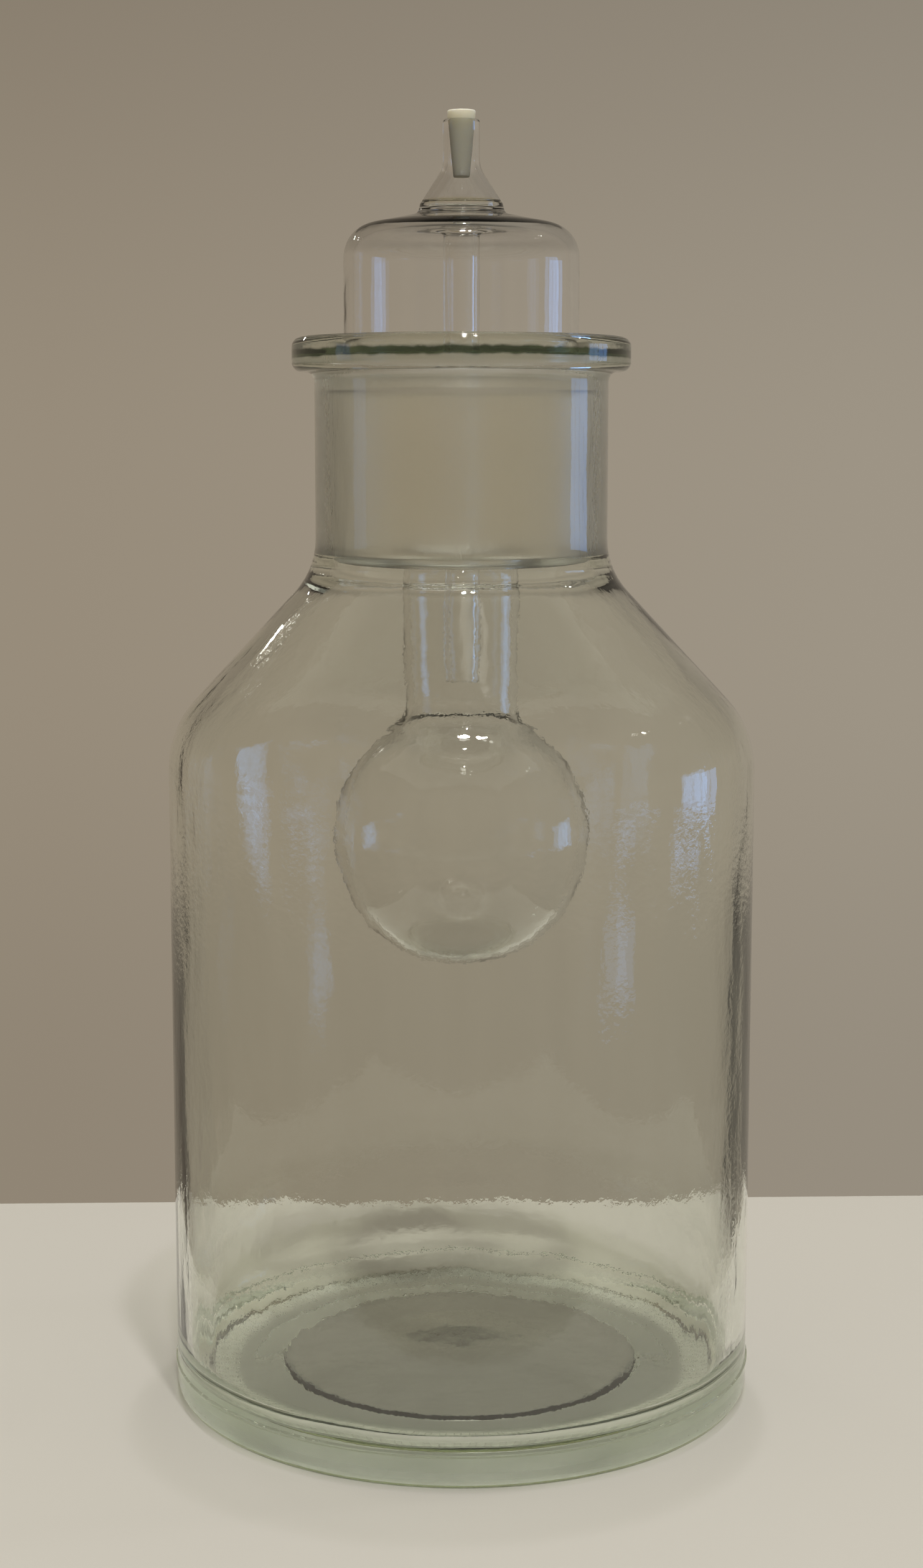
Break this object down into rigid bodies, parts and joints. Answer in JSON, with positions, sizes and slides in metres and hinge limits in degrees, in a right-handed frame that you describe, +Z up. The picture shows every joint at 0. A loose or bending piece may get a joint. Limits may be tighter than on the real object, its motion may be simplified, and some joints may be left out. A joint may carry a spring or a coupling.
{
  "type": "specimen jar",
  "caption": "Round wide-mouth glass specimen jar with a hollow ground-glass stopper that carries a plugged spout above and a tube with a round bulb hanging inside.",
  "frame": {"origin": "centre of the flat ring under the jar, on the surface it stands on", "axes": "+Z up along the jar's axis, from its base towards the plug; the object is round, so X and Y are any two directions square to it"},
  "size_m": [0.1876, 0.1876, 0.4092],
  "materials": {
    "jar_glass": "polished, faintly green, ground matt inside the neck",
    "stopper_glass": "polished and clear, ground matt on the cone",
    "plug_silicone": "matt, translucent"
  },
  "bodies": {
    "jar": {"jar": "jar_glass"},
    "stopper": {"stopper_shell": "stopper_glass", "spout": "stopper_glass", "inner_tube": "stopper_glass", "bulb_neck": "stopper_glass", "bulb": "stopper_glass"},
    "plug": {"plug": "plug_silicone"}
  },
  "joints": [
    {"name": "stopper_lift", "type": "slide", "parent": "jar", "child": "stopper", "axis": [0, 0, 1], "range_m": [0, 0.215]},
    {"name": "plug_lift", "type": "slide", "parent": "stopper", "child": "plug", "axis": [0, 0, 1], "range_m": [0, 0.025]}
  ]
}
